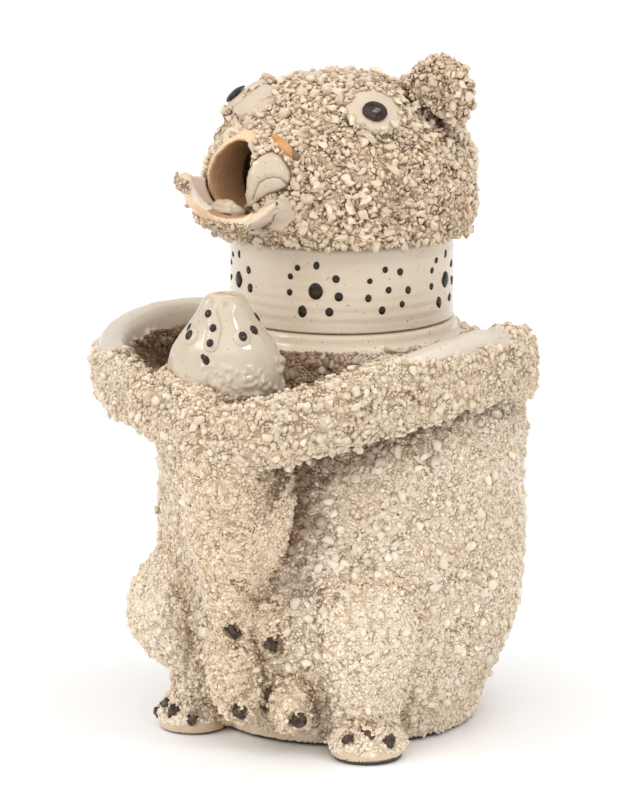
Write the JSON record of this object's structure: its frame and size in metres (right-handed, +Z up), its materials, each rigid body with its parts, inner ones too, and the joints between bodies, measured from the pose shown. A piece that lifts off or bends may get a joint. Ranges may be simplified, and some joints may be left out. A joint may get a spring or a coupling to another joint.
{
  "type": "bear jug",
  "caption": "Stoneware jug shaped as a seated bear hugging a dog, crumb-coated fur, with a lift-off head on a dotted collar that serves as a cup and the dog's muzzle as the spout.",
  "frame": {"origin": "centre of the jug's flat base", "axes": "+Z up, the bear faces -Y, its left side is +X"},
  "size_m": [0.1599, 0.1676, 0.2508],
  "materials": {
    "crumb_coat": "salt-glazed crumbs of clay",
    "cream_glaze": "smooth cream salt glaze",
    "brown_slip": "glossy dark brown slip"
  },
  "bodies": {
    "jug": {"jug_body": "crumb_coat", "left_arm": "crumb_coat", "right_arm": "crumb_coat", "left_hind_leg": "crumb_coat", "right_hind_leg": "crumb_coat", "left_hind_paw": "crumb_coat", "right_hind_paw": "crumb_coat", "left_claw_1": "brown_slip", "left_claw_2": "brown_slip", "left_claw_3": "brown_slip", "right_claw_1": "brown_slip", "right_claw_2": "brown_slip", "right_claw_3": "brown_slip", "right_claw_4": "brown_slip", "dog_torso": "crumb_coat", "dog_head": "cream_glaze", "dog_right_eye": "cream_glaze", "dog_left_eye": "cream_glaze", "dog_nose_strip": "cream_glaze", "dog_right_foreleg": "crumb_coat", "dog_left_foreleg": "crumb_coat", "dog_right_hind_leg": "crumb_coat", "dog_left_hind_leg": "crumb_coat", "dog_right_foreclaw": "brown_slip", "dog_left_foreclaw": "brown_slip", "dog_right_hind_claw": "brown_slip", "dog_left_hind_claw": "brown_slip"},
    "head_cover": {"collar": "cream_glaze", "head_shell": "crumb_coat", "lower_jaw": "crumb_coat", "tongue": "cream_glaze", "left_ear": "crumb_coat", "right_eye": "cream_glaze", "left_eye": "cream_glaze", "right_pupil": "brown_slip", "left_pupil": "brown_slip"}
  },
  "joints": [
    {"name": "head_lift", "type": "slide", "parent": "jug", "child": "head_cover", "axis": [0, 0, 1], "range_m": [0, 0.06]}
  ]
}
